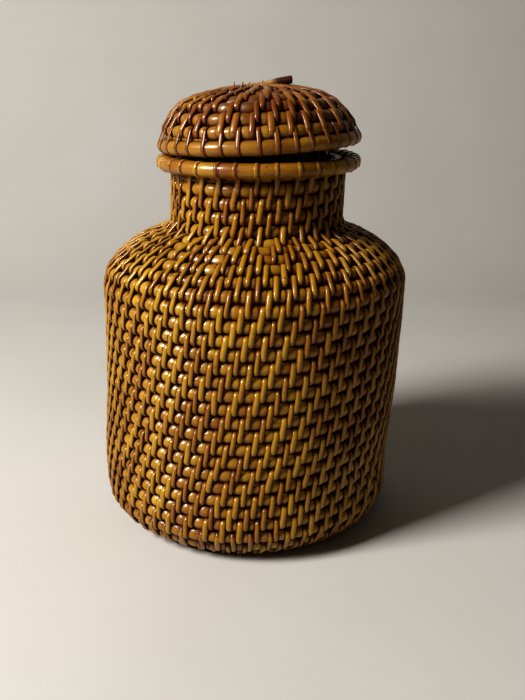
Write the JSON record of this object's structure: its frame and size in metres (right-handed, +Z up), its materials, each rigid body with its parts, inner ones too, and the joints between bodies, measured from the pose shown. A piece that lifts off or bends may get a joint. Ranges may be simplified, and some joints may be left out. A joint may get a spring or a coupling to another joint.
{
  "type": "coiled rattan lidded storage basket",
  "caption": "Round lidded storage basket of coiled rattan rod bound with cane, with a shouldered cylindrical body, a narrow neck with a thick rim ring, and a domed lid that lifts off.",
  "frame": {"origin": "on the jar's axis, in the plane that its foot row stands on", "axes": "+Z up along the jar's axis, +X to the side where the lid sits high, -Y to the front"},
  "size_m": [0.1416, 0.1415, 0.2066],
  "materials": {
    "rattan_core": "varnished, glossy",
    "cane_binding": "varnished, glossy",
    "lid_rattan_core": "varnished, glossy",
    "lid_cane_binding": "varnished, glossy",
    "lid_tail_splint": "varnished, worn"
  },
  "bodies": {
    "jar": {"base_coil": "rattan_core", "wall_coil": "rattan_core", "shoulder_coil": "rattan_core", "neck_coil": "rattan_core", "mouth_coil": "rattan_core", "rim_ring": "rattan_core", "base_stitching": "cane_binding", "wall_stitching": "cane_binding", "shoulder_stitching": "cane_binding", "neck_stitching": "cane_binding", "mouth_stitching": "cane_binding", "rim_lashing": "cane_binding"},
    "lid": {"lid_dome_coil": "lid_rattan_core", "lid_rim_ring": "lid_rattan_core", "lid_collar_coil": "lid_rattan_core", "lid_dome_stitching": "lid_cane_binding", "lid_rim_lashing": "lid_cane_binding", "lid_collar_stitching": "lid_cane_binding", "lid_tail": "lid_tail_splint"}
  },
  "joints": [
    {"name": "lid_lift", "type": "slide", "parent": "jar", "child": "lid", "axis": [0, 0, 1], "range_m": [0, 0.08]}
  ]
}
